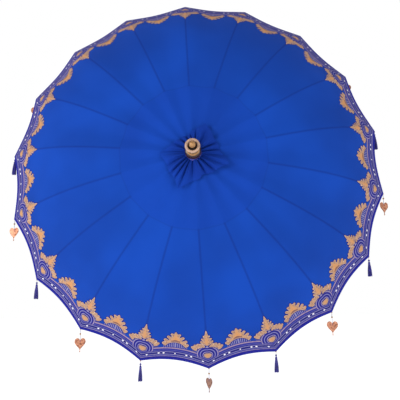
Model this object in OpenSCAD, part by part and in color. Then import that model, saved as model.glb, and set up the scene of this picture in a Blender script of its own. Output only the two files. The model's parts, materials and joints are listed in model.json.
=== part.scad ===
// Ceremonial cloth parasol with eighteen ribs, lying with its pole level.
// The pole runs from its foot at the origin along -Y to the finial, and +Z is up.
// Parts are drawn standing, with z along the pole, and laid down by lie_down().

/* [Canopy] */
// Distance from the pole's axis to the corners of the cloth
canopy_r = 900; // [860:5:940]
// Height of the rim above the foot of the pole
rim_h = 1900; // [1800:10:2000]
// Rise of the dome that comes from its even slope
cone_rise = 81; // [60:1:100]
// Rise of the dome that comes from its rounded shoulder
round_rise = 288; // [250:1:310]
// How far the hem is cut back between two ribs
hem_sag = 24; // [0:1:40]
// Thickness of the cloth
cloth_t = 1.2; // [0.8:0.1:1.4]
// Reach of the tied cover cloth's corners from the pole's axis
cover_reach = 158; // [120:1:180]
// Height of the tied cover cloth's puffs
cover_puff = 11; // [4:1:20]

/* [Pole] */
// Radius of the pole
pole_r = 17; // [16:0.5:18]
// Radius of the foot that drops into a stand
foot_r = 15; // [12:0.5:15.5]
// Length of the foot that drops into a stand
foot_len = 250; // [150:10:400]
// Height of the finial
finial_h = 139.4; // [120:0.2:160]

/* [Ribs] */
// Width of a rib
rib_w = 9; // [8:0.5:9.5]
// Depth of a rib along its inner part
rib_depth = 13; // [12:0.5:14]
// Depth of a rib at its tip
tip_depth = 4.5; // [4:0.5:6]
// Gap between the cloth's outer face and the top edge of the ribs
rib_gap = 3; // [2.8:0.1:4]
// Distance from the pole's axis to the pivots between ribs and struts
strut_r = 450; // [430:5:470]
// Width of a strut
strut_w = 8; // [7:0.5:8]
// Depth of a strut
strut_depth = 10; // [8:0.5:10]

/* [Pendants] */
// Length of a tassel below its rib tip
tassel_len = 91; // [70:1:100]
// Radius of a tassel's skirt at its lower end
tassel_r = 11; // [8:0.5:12]
// Length of a heart pendant below its rib tip
heart_len = 103; // [90:1:110]
// Width of the heart plate
heart_w = 50; // [40:1:52]

/* [Hidden] */
ribs = 18;
lean = -3.2;                     // angle of rib 01 from straight up
gore = 360 / ribs;
function two(k) = str(k < 10 ? "0" : "", k);
function rib_name(k) = str("rib_", two(k + 1));
function strut_name(k) = str("strut_", two(k + 1));
function pendant_name(k) =
    str(k % 2 == 0 ? "tassel_" : "heart_pendant_", two(floor(k / 2) + 1));

// The dome: its height over the foot, its slope, and a point at a depth d under its face.
function dome_z(r) =
    rim_h + cone_rise * (1 - r / canopy_r) + round_rise * (1 - pow(r / canopy_r, 4));
function dome_slope(r) =
    -(cone_rise + 4 * round_rise * pow(r / canopy_r, 3)) / canopy_r;
function under_dome(r, d) =
    let (s = dome_slope(r), n = sqrt(1 + s * s)) [r + d * s / n, dome_z(r) - d / n];

// Rings of the cloth, close together towards the rim, and a column's share of the hem's cut.
hole_r = 16;
rings = 14;
ring_power = 1.6;
columns = 4;                     // to each gore
function ring_share(j) = 1 - pow(1 - j / rings, ring_power);
function ring_r(j, edge) = hole_r + (edge - hole_r) * ring_share(j);
function hem_r(c) = canopy_r - hem_sag * (1 - pow(2 * (c % columns) / columns - 1, 2));
function chord(c) = cos(gore / 2) / cos(gore * ((c % columns) / columns - 0.5));

// Pivots, in the plane of a rib: crown, rib to strut, and runner.
hinge_drop = 9;
hinge_r = 34;
crown_z = dome_z(hinge_r) - hinge_drop;
pivot_z = dome_z(strut_r) - hinge_drop;
runner_z = 2 * pivot_z - crown_z;
strut_len = sqrt(pow(strut_r - hinge_r, 2) + pow(crown_z - pivot_z, 2));
strut_rise = asin((pivot_z - runner_z) / strut_len);

// Hubs and their wire rings.
hub_r = 44;
core_r = 26;
slot_w = 6.6;
head_w = 6;
head_r = 5.8;
wire_r = 1.2;
wire_clear = 0.1;
eye_r = 1.6;
hub_up = 5.5;
hub_down = 6;
crown_skirt = 34;
shoulder_drop = 14;
shoulder_z = crown_z - shoulder_drop;
spigot_r = 12;
spigot_top = crown_z + 36;
fit_clear = 0.1;
runner_bore = 17.6;
sleeve_r = 27;
sleeve_len = 75;
sleeve_z = runner_z - sleeve_len;

// Rib to strut joint.
slit_w = 4.8;
slit_in = 40;
slit_out = 25;
slit_up = 4.8;
tongue_w = 4.2;
tongue_len = 52;
tongue_r = 4.4;
pin_r = 1.45;
pin_bore = 1.5;
wide_from = 60;                  // where a rib reaches its full width
tip_w = 4;                       // width of the last stretch of a rib
tip_stretch = 26;
taper_from = 600;                // where a rib starts to taper
tip_over = 5;                    // how far the tip's ball lies past the cloth's corner
ball_r = 3.5;
tip = under_dome(canopy_r + tip_over, rib_gap + tip_depth / 2);

// Spring catch, in a slot of the pole below the runner.
catch_w = 5;
catch_slot = [18, 6, 98];
catch_slot_up = 6;
catch_gap = 0.6;
catch_back = 9;
catch_nose = 23;
catch_pin = [10.5, 78];
catch_top = sleeve_z - catch_gap;

// Finial and cover cloth.
finial_z = dome_z(hinge_r) + 6.2;
finial_bore_depth = spigot_top - finial_z + 1;
cover_hole = 15;
cover_gap = 0.4;
cover_t = 3;
cover_turn = 17;
cover_columns = 48;
cover_rings = 5;

// Pendants.
thread_start = 3.9;
thread_r = 0.8;
bead_at = 22;
bead_r = 4;
stem_len = 8;
stem_r = 1.8;
heart_t = 2.4;
heart_stretch = 1.9;              // millimetres of height for each unit of the outline
end_bead_r = 2.6;
heart_points = 40;
heart_turns = [0, 20, -25, 10, 55, -10, 15, 0, -20]; // how each heart has twisted on its thread
// The heart's outline: its half width is curve_w sin^3, its height a sum of four cosines.
curve_w = 16;
curve_h = [13, 5, 2, 1];
heart_point = 17;                // depth of the point under it
heart_scale = heart_w / (2 * curve_w);

function rib_angle(k) = gore * k + lean;

module lie_down() rotate([90, 0, 0]) children();

// Turns a part drawn in the x-z plane, with x outwards, to the place of rib k.
module at_rib(k) rotate([0, 0, 90 - rib_angle(k)]) children();

// Stands a flat outline, drawn with y for height, up in the x-z plane with width w.
module plate(w) rotate([90, 0, 0]) linear_extrude(w, center = true) children();

// A round bar or hole across the plane of a rib, at [r, z].
module cross_bar(at, r, w)
    translate([at[0], 0, at[1]]) rotate([90, 0, 0]) cylinder(r = r, h = w, center = true, $fn = 32);

// Triangles between rings of n points each, for a closed skin whose last ring meets its first.
function skin_faces(n, m) = [
    for (j = [0:m - 1], c = [0:n - 1])
        let (a = j * n + c, b = j * n + (c + 1) % n,
             d = ((j + 1) % m) * n + c, e = ((j + 1) % m) * n + (c + 1) % n)
        each [[a, b, e], [a, e, d]]
];

module ribbed_dome() {
    n = ribs * columns;
    function cloth_point(j, c, depth) =
        let (p = under_dome(ring_r(j, hem_r(c)), depth),
             a = 90 - lean - gore * c / columns)
        [p[0] * chord(c) * cos(a), p[0] * chord(c) * sin(a), p[1]];
    polyhedron(concat(
        [for (j = [0:rings], c = [0:n - 1]) cloth_point(j, c, 0)],
        [for (j = [rings:-1:0], c = [0:n - 1]) cloth_point(j, c, cloth_t)]),
        skin_faces(n, 2 * (rings + 1)));
}

module cover_cloth() {
    n = cover_columns;
    function edge_r(a) = cover_reach / (abs(cos(a)) + abs(sin(a)));
    function cover_point(j, c, top) =
        let (a = -360 * c / n, share = j / cover_rings,
             r = cover_hole + (edge_r(a) - cover_hole) * share,
             up = cover_gap + (top ? cover_t + cover_puff * sin(180 * share * share) : 0))
        [r * cos(a - cover_turn), r * sin(a - cover_turn), dome_z(r) + up];
    polyhedron(concat(
        [for (j = [0:cover_rings], c = [0:n - 1]) cover_point(j, c, true)],
        [for (j = [cover_rings:-1:0], c = [0:n - 1]) cover_point(j, c, false)]),
        skin_faces(n, 2 * (cover_rings + 1)));
}

module canopy() color("royalblue") lie_down() {
    ribbed_dome();
    cover_cloth();
}

module pole() color("saddlebrown") lie_down() {
    pin_at = [catch_pin[0], sleeve_z - catch_pin[1]];
    difference() {
        union() {
            cylinder(r = foot_r, h = foot_len + 1, $fn = 96);
            translate([0, 0, foot_len]) cylinder(r = pole_r, h = shoulder_z - foot_len, $fn = 96);
            cylinder(r = spigot_r, h = spigot_top, $fn = 96);
        }
        translate([catch_slot[0] / 2, 0, sleeve_z + catch_slot_up - catch_slot[2] / 2])
            cube(catch_slot, center = true);
        cross_bar(pin_at, pin_bore, 2 * pole_r);
    }
    cross_bar(pin_at, pin_r, 2 * pole_r - 9);
}

module spring_catch() color("silver") lie_down() {
    foot = sleeve_z - catch_slot[2] + 14;
    difference() {
        plate(catch_w) polygon([
            [catch_back - 3, foot], [catch_back + 5, foot],
            [catch_back + 6, catch_top - 42], [catch_nose, catch_top - 6],
            [catch_nose, catch_top], [catch_back, catch_top]]);
        cross_bar([catch_pin[0], sleeve_z - catch_pin[1]], eye_r, 2 * catch_w);
    }
    plate(catch_w - 1) polygon([
        [catch_back - 0.4, catch_top - 4], [catch_back - 1.2, catch_top - 4],
        [0.6, catch_top - 30], [0.6, catch_top - 34], [1.4, catch_top - 34], [1.4, catch_top - 30]]);
}

module finial() color("burlywood") lie_down() translate([0, 0, finial_z]) difference() {
    rotate_extrude($fn = 96) polygon(concat(
        [[0, 0], [33, 0], [34, 3], [33, 7], [27, 9], [27, 12]],
        [for (a = [-50:20:50]) [22 + 12 * cos(a), 30 + 22 * sin(a)]],
        [[24, 49], [27, 52], [24, 55], [22, 62], [24, 70]],
        [[25, 72], [22, 74], [25, 86], [28, 96], [30, 98], [30, 103], [28, 105]],
        [[18, 105], [15, 100], [9, 98], [8, 104]],
        [for (a = [-50:20:70]) [13.4 * cos(a), finial_h - 21 + 14 * sin(a)]],
        [[2.4, finial_h - 4.4], [0, finial_h]]));
    translate([0, 0, -1]) cylinder(r = spigot_r + fit_clear, h = finial_bore_depth + 1, $fn = 96);
}

// A toothed disc round the pole's axis, with a slot for each rib or strut.
module toothed_ring(z) {
    difference() {
        translate([0, 0, z - hub_down]) cylinder(r = hub_r, h = hub_up + hub_down, $fn = 96);
        for (k = [0:ribs - 1]) at_rib(k)
            translate([core_r, -slot_w / 2, z - hub_down - 1]) cube([hub_r, slot_w, hub_up + hub_down + 2]);
        translate([0, 0, z]) wire_ring(wire_r + wire_clear);
    }
}

module wire_ring(r) rotate_extrude($fn = 96) translate([hinge_r, 0]) circle(r = r, $fn = 24);

module crown_hub() color("peru") lie_down() {
    difference() {
        union() {
            toothed_ring(crown_z);
            translate([0, 0, crown_z - crown_skirt])
                cylinder(r = core_r, h = crown_skirt + hub_up, $fn = 96);
        }
        translate([0, 0, crown_z - crown_skirt - 1])
            cylinder(r = pole_r + fit_clear, h = crown_skirt + 1 - shoulder_drop, $fn = 96);
        translate([0, 0, crown_z - crown_skirt])
            cylinder(r = spigot_r + fit_clear, h = 2 * crown_skirt, $fn = 96);
    }
    translate([0, 0, crown_z]) wire_ring(wire_r);
}

module runner_hub() color("peru") lie_down() {
    difference() {
        union() {
            toothed_ring(runner_z);
            translate([0, 0, runner_z - hub_down]) cylinder(r = core_r, h = hub_down + hub_up, $fn = 96);
            translate([0, 0, sleeve_z]) cylinder(r = sleeve_r, h = sleeve_len - hub_down, $fn = 96);
        }
        translate([0, 0, sleeve_z - 1]) cylinder(r = runner_bore, h = 2 * sleeve_len, $fn = 96);
    }
    translate([0, 0, runner_z]) wire_ring(wire_r);
}

function depth_at(r) = r < taper_from ? rib_depth
    : rib_depth + (tip_depth - rib_depth) * (r - taper_from) / (canopy_r + tip_over - taper_from);

module rib_blank(w, from, to) {
    inside = [for (j = [1:rings]) let (r = ring_r(j, canopy_r)) if (r > from && r < to) r];
    stops = concat([from], inside, [to]);
    last = len(stops) - 1;
    plate(w) polygon(concat(
        [for (r = stops) under_dome(r, rib_gap)],
        [for (i = [last:-1:0]) under_dome(stops[i], rib_gap + depth_at(stops[i]))]));
}

module rib(k) color("tan") lie_down() at_rib(k) {
    pivot = [strut_r, pivot_z];
    difference() {
        union() {
            rib_blank(head_w, hinge_r, wide_from + 5);
            rib_blank(rib_w, wide_from, canopy_r - tip_stretch);
            rib_blank(tip_w, canopy_r - tip_stretch - 4, canopy_r + tip_over);
            cross_bar([hinge_r, crown_z], head_r, head_w);
            translate([tip[0], 0, tip[1]]) sphere(r = ball_r, $fn = 32);
        }
        cross_bar([hinge_r, crown_z], eye_r, rib_w + 2);
        cross_bar(pivot, pin_bore, rib_w + 2);
        translate([strut_r, 0, pivot_z]) rotate([0, atan(-dome_slope(strut_r)), 0])
            translate([-slit_in, -slit_w / 2, slit_up - 2 * rib_depth])
                cube([slit_in + slit_out, slit_w, 2 * rib_depth]);
    }
    cross_bar(pivot, pin_r, rib_w);
}

module strut(k) color("tan") lie_down() at_rib(k)
    translate([hinge_r, 0, runner_z]) rotate([0, -strut_rise, 0]) difference() {
        union() {
            cross_bar([0, 0], strut_depth / 2, head_w);
            translate([0, -head_w / 2, -strut_depth / 2]) cube([30, head_w, strut_depth]);
            translate([26, -strut_w / 2, -strut_depth / 2])
                cube([strut_len - tongue_len - 26, strut_w, strut_depth]);
            translate([strut_len - tongue_len - 4, -tongue_w / 2, -tongue_r])
                cube([tongue_len + 4, tongue_w, 2 * tongue_r]);
            cross_bar([strut_len, 0], tongue_r, tongue_w);
        }
        cross_bar([0, 0], eye_r, strut_w + 2);
        cross_bar([strut_len, 0], eye_r, strut_w + 2);
    }

// Hangs a pendant, drawn with z downwards, from the tip of rib k.
module hang(k) lie_down()
    translate([tip[0] * sin(rib_angle(k)), tip[0] * cos(rib_angle(k)), tip[1]])
        rotate([90, 0, 0]) children();

module tassel(k) color("midnightblue") hang(k) rotate_extrude($fn = 48) polygon(concat(
    [[0, thread_start], [thread_r, thread_start], [thread_r, 12]],
    [for (a = [-70:20:70]) [4.6 * cos(a), 16.4 + 4.4 * sin(a)]],
    [[2.6, 22], [4.4, 26], [5.6, 34], [tassel_r - 2, tassel_len - 18], [tassel_r, tassel_len],
     [0, tassel_len]]));

module heart(k) color("darksalmon") hang(k) rotate([0, 0, heart_turns[(k - 1) / 2]]) {
    point_at = heart_len - stem_len;
    centre_at = point_at - heart_point * heart_stretch;
    lobes_at = centre_at - (curve_h[0] - curve_h[1] - curve_h[2] - curve_h[3]) * heart_stretch;
    union() {
        translate([0, 0, thread_start])
            cylinder(r = thread_r, h = lobes_at + 2 - thread_start, $fn = 16);
        translate([0, 0, bead_at]) sphere(r = bead_r, $fn = 32);
        translate([0, 0, point_at - 3]) cylinder(r = stem_r, h = stem_len + 3, $fn = 24);
        translate([0, 0, heart_len - end_bead_r]) sphere(r = end_bead_r, $fn = 32);
        plate(heart_t) translate([0, centre_at]) polygon([
            for (i = [0:heart_points - 1]) let (a = 360 * i / heart_points)
            [heart_scale * curve_w * pow(sin(a), 3),
             heart_stretch * (curve_h[3] * cos(4 * a) + curve_h[2] * cos(3 * a) + curve_h[1] * cos(2 * a)
                 - curve_h[0] * cos(a))]]);
    }
}

module pendant(k) if (k % 2 == 0) tassel(k); else heart(k);

pole();
finial();
crown_hub();
runner_hub();
spring_catch();
canopy();
for (k = [0:ribs - 1]) rib(k);
for (k = [0:ribs - 1]) strut(k);
for (k = [0:ribs - 1]) pendant(k);
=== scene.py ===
"""The looks of a ribbed cloth parasol with a painted border, hanging pendants and a turned finial.

Cloth is worked out standing up, in millimetres: x to the right, y towards the top rib and z along the
pole from its foot. One function then lays every point down into the frame's metres.
"""

import json
import logging
import math
from dataclasses import dataclass, field
from enum import Enum

import bpy
import numpy as np
from mathutils import Matrix, Vector


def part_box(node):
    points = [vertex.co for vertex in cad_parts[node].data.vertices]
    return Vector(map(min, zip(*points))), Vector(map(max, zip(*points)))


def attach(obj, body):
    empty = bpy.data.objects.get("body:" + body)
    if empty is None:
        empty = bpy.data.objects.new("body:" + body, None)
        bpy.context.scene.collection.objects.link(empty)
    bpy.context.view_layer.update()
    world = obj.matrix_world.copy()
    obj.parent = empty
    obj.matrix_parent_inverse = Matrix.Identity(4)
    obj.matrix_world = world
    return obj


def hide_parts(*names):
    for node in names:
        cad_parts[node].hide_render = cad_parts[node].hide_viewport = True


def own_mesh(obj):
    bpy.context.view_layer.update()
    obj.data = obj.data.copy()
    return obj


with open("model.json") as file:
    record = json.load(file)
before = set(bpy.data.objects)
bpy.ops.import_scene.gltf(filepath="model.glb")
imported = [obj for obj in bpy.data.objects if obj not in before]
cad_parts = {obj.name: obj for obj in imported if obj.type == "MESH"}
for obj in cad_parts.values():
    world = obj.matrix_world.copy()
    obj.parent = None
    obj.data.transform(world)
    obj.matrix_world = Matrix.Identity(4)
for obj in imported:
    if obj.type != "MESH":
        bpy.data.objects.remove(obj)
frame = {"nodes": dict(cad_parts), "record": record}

log = logging.getLogger("parasol")
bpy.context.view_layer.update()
JOINTS = {joint["name"]: joint for joint in frame["record"]["behaviour"]["joints"]}
MM = 0.001
RIBS = 18
BAY = 360.0 / RIBS


# ---------------------------------------------------------------- meshes from arrays


@dataclass
class Shell:
    """A closed surface held as arrays, before it becomes a mesh.

    Fields named per point, such as an arc distance, become attributes that a finish can read.
    """

    points: np.ndarray
    faces: list[np.ndarray]
    fields: dict[str, np.ndarray] = field(default_factory=dict)
    finishes: list[np.ndarray] | None = None
    normals: np.ndarray | None = None
    uv: np.ndarray | None = None


def lie_down(points: np.ndarray) -> np.ndarray:
    """Turns standing millimetres (x, y, z) into the frame's metres (x, -z, y).

    Args:
        points: Any array whose last axis is x, y, z.

    Returns:
        An array of the same shape.
    """
    return np.stack([points[..., 0], -points[..., 2], points[..., 1]], axis=-1) * MM


def grid_faces(rows: int, columns: int, closed: bool = False) -> np.ndarray:
    """Gives the four-sided faces of a grid of points stored row by row.

    Args:
        rows: Number of rows of points.
        columns: Number of points in a row.
        closed: Whether the last column joins the first.

    Returns:
        An (m, 4) array of point numbers, which turn anticlockwise where columns run across rows.
    """
    row, column = np.meshgrid(np.arange(rows - 1), np.arange(columns - (not closed)), indexing="ij")
    right = (column + 1) % columns
    corners = [row * columns + column, row * columns + right]
    corners += [(row + 1) * columns + right, (row + 1) * columns + column]
    return np.stack(corners, axis=-1).reshape(-1, 4)


def turned(profile: np.ndarray, sides: int) -> Shell:
    """Turns a profile about z: each point is (radius cos a, radius sin a, height).

    Args:
        profile: (n, 2) radii and heights from the lower end to the upper, with no radius of 0.
        sides: Number of points round the axis.

    Returns:
        A shell closed by a fan of triangles at each end.
    """
    return carried((profile[:, 1:] * [0, 0, 1])[None], profile[None, :, 0], sides)


def carried(paths: np.ndarray, radii: np.ndarray, sides: int) -> Shell:
    """Carries a round section along many paths at once that all run roughly along z.

    Each ring is centre + radius (cos a, sin a, 0), which suits paths that lean little.

    Args:
        paths: (count, rings, 3) centres.
        radii: (count, rings) radii.
        sides: Points in a ring.

    Returns:
        One shell that holds all the strands, each closed by a fan at both ends.
    """
    count, rings = radii.shape
    angle = np.linspace(0, 2 * np.pi, sides, endpoint=False)
    around = np.stack([np.cos(angle), np.sin(angle), 0 * angle], axis=-1)
    points = paths[:, :, None] + radii[..., None, None] * around
    walls = grid_faces(rings, sides, True)
    size = rings * sides
    this, after = np.arange(sides), (np.arange(sides) + 1) % sides
    fans = np.concatenate([
        np.stack([np.full(sides, size), after, this], axis=1),
        np.stack([size - sides + this, size - sides + after, np.full(sides, size + 1)], axis=1)])
    points = np.concatenate([points.reshape(count, size, 3), paths[:, [0, -1]]], axis=1)
    shift = (np.arange(count) * (size + 2))[:, None, None]
    return Shell(points.reshape(-1, 3), [(walls + shift).reshape(-1, 4), (fans + shift).reshape(-1, 3)])


def joined(shells: list[Shell]) -> Shell:
    """Puts shells together as one, each with its own finish number in the order given."""
    points, faces, finishes, start = [], [], [], 0
    for number, shell in enumerate(shells):
        points.append(shell.points)
        for faces_of in shell.faces:
            faces.append(faces_of + start)
            finishes.append(np.full(len(faces_of), number))
        start += len(shell.points)
    return Shell(np.concatenate(points), faces, finishes=finishes)


def walled(outer: np.ndarray, inner: np.ndarray) -> Shell:
    """Closes two grids of points, an outer and an inner face, with a wall all round their edge.

    Args:
        outer: (rows, columns, 3) points, whose faces look outwards.
        inner: The same grid on the other side of the cloth.

    Returns:
        A closed shell whose points are the outer grid's and then the inner grid's.
    """
    rows, columns = outer.shape[:2]
    count = rows * columns
    number = np.arange(count).reshape(rows, columns)
    loop = np.concatenate([number[0, :-1], number[:-1, -1], number[-1, :0:-1], number[:0:-1, 0]])
    after = np.roll(loop, -1)
    walls = np.stack([after, loop, loop + count, after + count], axis=1)
    face = grid_faces(rows, columns)
    points = np.concatenate([outer.reshape(-1, 3), inner.reshape(-1, 3)])
    return Shell(points, [face, face[:, ::-1] + count, walls])


def make_piece(name: str, shell: Shell, dressing: list[bpy.types.Material],
               sharp: float = 40.0) -> bpy.types.Object:
    """Makes a Blender object from a shell whose points are in the frame's metres.

    Args:
        name: The piece's name.
        shell: Its surface.
        dressing: Its materials, by finish number.
        sharp: Angle in degrees past which an edge is drawn sharp, where the shell has no normals.

    Returns:
        The linked object, which sits at the origin.
    """
    mesh = bpy.data.meshes.new(name)
    corners = np.concatenate([faces.ravel() for faces in shell.faces]).astype(np.int32)
    sides = np.concatenate([np.full(len(faces), faces.shape[1]) for faces in shell.faces])
    mesh.vertices.add(len(shell.points))
    mesh.vertices.foreach_set("co", shell.points.astype(np.float32).ravel())
    mesh.loops.add(len(corners))
    mesh.loops.foreach_set("vertex_index", corners)
    mesh.polygons.add(len(sides))
    mesh.polygons.foreach_set("loop_start", (np.cumsum(sides) - sides).astype(np.int32))
    for material in dressing:
        mesh.materials.append(material)
    if shell.finishes is not None:
        mesh.polygons.foreach_set("material_index", np.concatenate(shell.finishes).astype(np.int32))
    mesh.update(calc_edges=True)
    mesh.shade_smooth()
    for label, values in shell.fields.items():
        mesh.attributes.new(label, "FLOAT", "POINT").data.foreach_set(
            "value", values.astype(np.float32).ravel())
    if shell.uv is not None:
        layer = mesh.uv_layers.new(name="cloth")
        layer.data.foreach_set("uv", shell.uv[corners].astype(np.float32).ravel())
    if shell.normals is not None:
        mesh.normals_split_custom_set_from_vertices(shell.normals.tolist())
    else:
        mesh.set_sharp_from_angle(angle=math.radians(sharp))
    piece = bpy.data.objects.new(name, mesh)
    bpy.context.scene.collection.objects.link(piece)
    return piece


def smooth(value: np.ndarray, low: float, high: float) -> np.ndarray:
    """Rises smoothly from 0 at low to 1 at high: 3 t squared less 2 t cubed."""
    share = np.clip((value - low) / (high - low), 0, 1)
    return share * share * (3 - 2 * share)


def upright(across: np.ndarray, out: np.ndarray) -> np.ndarray:
    """Gives unit normals in the frame: the cross product of standing steps across and outwards."""
    normal = np.cross(across, out)
    normal /= np.linalg.norm(normal, axis=-1, keepdims=True)
    return lie_down(normal) / MM


def rib_joint(rib: int) -> tuple[dict, Vector, float]:
    """Finds the joint that a rib turns on.

    Args:
        rib: The rib's number, from 0 at the top.

    Returns:
        The joint, its place in the frame, and the rib's angle in degrees clockwise from the top.
    """
    joint = JOINTS["canopy_fold" if rib == 0 else f"rib_{rib + 1:02d}_hinge"]
    hinge = Vector(joint["pos_m"])
    return joint, hinge, math.degrees(math.atan2(hinge.x, hinge.z))


# ---------------------------------------------------------------- finishes


def linear(code: str) -> tuple[float, float, float, float]:
    """Turns an sRGB colour such as "1A48B8" into the linear colour that a socket takes."""
    parts = [int(code[i:i + 2], 16) / 255 for i in (0, 2, 4)]
    return (*(c / 12.92 if c <= 0.04045 else ((c + 0.055) / 1.055) ** 2.4 for c in parts), 1.0)


class Recipe:
    """A material under construction: a Principled shader and whatever feeds it."""

    def __init__(self, name: str, **constants: float | tuple) -> None:
        """Starts a material.

        Args:
            name: The finish's name.
            constants: Values set on the shader's own sockets, with _ for each space.
        """
        self.material = bpy.data.materials.new(name)
        self.material.use_nodes = True
        self.nodes = self.material.node_tree.nodes
        self.links = self.material.node_tree.links
        self.shader = next(n for n in self.nodes if n.type == "BSDF_PRINCIPLED")
        for label, value in constants.items():
            self.shader.inputs[label.replace("_", " ").title().replace("Ior", "IOR")].default_value = value

    def add(self, kind: str, sockets: dict, out: int | str = 0, **settings) -> bpy.types.NodeSocket:
        """Adds a node with its settings and links.

        Args:
            kind: The node's type without its ShaderNode prefix.
            sockets: What goes into each input, by number or name: another socket, or a constant.
            out: The output wanted.
            settings: The node's own properties.

        Returns:
            The output socket.
        """
        node = self.nodes.new("ShaderNode" + kind)
        for label, value in settings.items():
            setattr(node, label, value)
        for label, value in sockets.items():
            if isinstance(value, bpy.types.NodeSocket):
                self.links.new(value, node.inputs[label])
            else:
                node.inputs[label].default_value = value
        return node.outputs[out]

    def mask(self, value: object, none: float, full: float, strength: float = 1.0) -> bpy.types.NodeSocket:
        """Makes a mask that rises smoothly from 0 to its strength.

        Args:
            value: What the mask follows.
            none: The value where the mask is 0, which may be the higher one.
            full: The value where it reaches its strength.
            strength: The mask's highest value.
        """
        return self.add("MapRange", {0: value, 1: none, 2: full, 3: 0.0, 4: strength},
                        interpolation_type="SMOOTHSTEP")

    def grain(self, scale: float, stretch: tuple[float, float, float] = (1, 1, 1), detail: float = 3.0,
              base: object = None) -> bpy.types.NodeSocket:
        """Gives a noise value round 0.5 on the piece's own coordinates.

        Args:
            scale: Patches per metre.
            stretch: Scale along x, y and z, to draw the patches out into fibres.
            detail: Octaves of finer noise.
            base: The coordinates, which are the object's own if left out.
        """
        place = base or self.add("TexCoord", {}, "Object")
        place = self.add("Mapping", {"Vector": place, "Scale": stretch})
        return self.add("TexNoise", {"Vector": place, "Scale": scale, "Detail": detail}, "Fac")

    def stripes(self, value: object, stops: list[tuple[float, str]], full: float) -> bpy.types.NodeSocket:
        """Looks a distance up in a row of painted stripes that blend into each other.

        Args:
            value: The distance, from 0 to full.
            stops: Pairs of a distance and a colour.
            full: The distance at the row's end.
        """
        color = self.add("ValToRGB", {0: self.add("Math", {0: value, 1: full}, operation="DIVIDE")})
        bar = color.node.color_ramp
        for _ in stops[2:]:
            bar.elements.new(0.5)
        for element, (place, _) in zip(bar.elements, stops):
            element.position = place / full
        for element, (_, code) in zip(bar.elements, stops):
            element.color = linear(code)
        return color

    def layered(self, ground: object, layers: list[tuple[object, object]]) -> bpy.types.NodeSocket:
        """Lays colours over a ground, each where its mask is 1.

        Args:
            ground: The lowest colour.
            layers: Pairs of a mask and a colour, lowest first.
        """
        for mask, paint in layers:
            ground = self.add("Mix", {0: mask, 6: ground, 7: paint}, 2, data_type="RGBA")
        return ground

    def finish(self, color: object = None, rough: tuple[object, float, float] | None = None,
               height: object = None, depth: float = 0.0) -> bpy.types.Material:
        """Connects the shader.

        Args:
            color: The base colour.
            rough: Where the roughness varies: a value, how much it adds, and the roughness at 0.
            height: A height from 0 to 1 for a bump.
            depth: The bump's full height in metres.

        Returns:
            The finished material.
        """
        if color is not None:
            self.links.new(color, self.shader.inputs["Base Color"])
        if rough is not None:
            spread = self.add("Math", dict(enumerate(rough)), operation="MULTIPLY_ADD")
            self.links.new(spread, self.shader.inputs["Roughness"])
        if height is not None:
            bump = self.add("Bump", {"Height": height, "Distance": depth, "Strength": 1.0}, "Normal")
            self.links.new(bump, self.shader.inputs["Normal"])
        return self.material


class Side(Enum):
    """Which kind of cloth a finish is for."""

    PRINTED = "painted_cotton"
    PLAIN = "plain_cotton_painted_shade"


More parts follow.
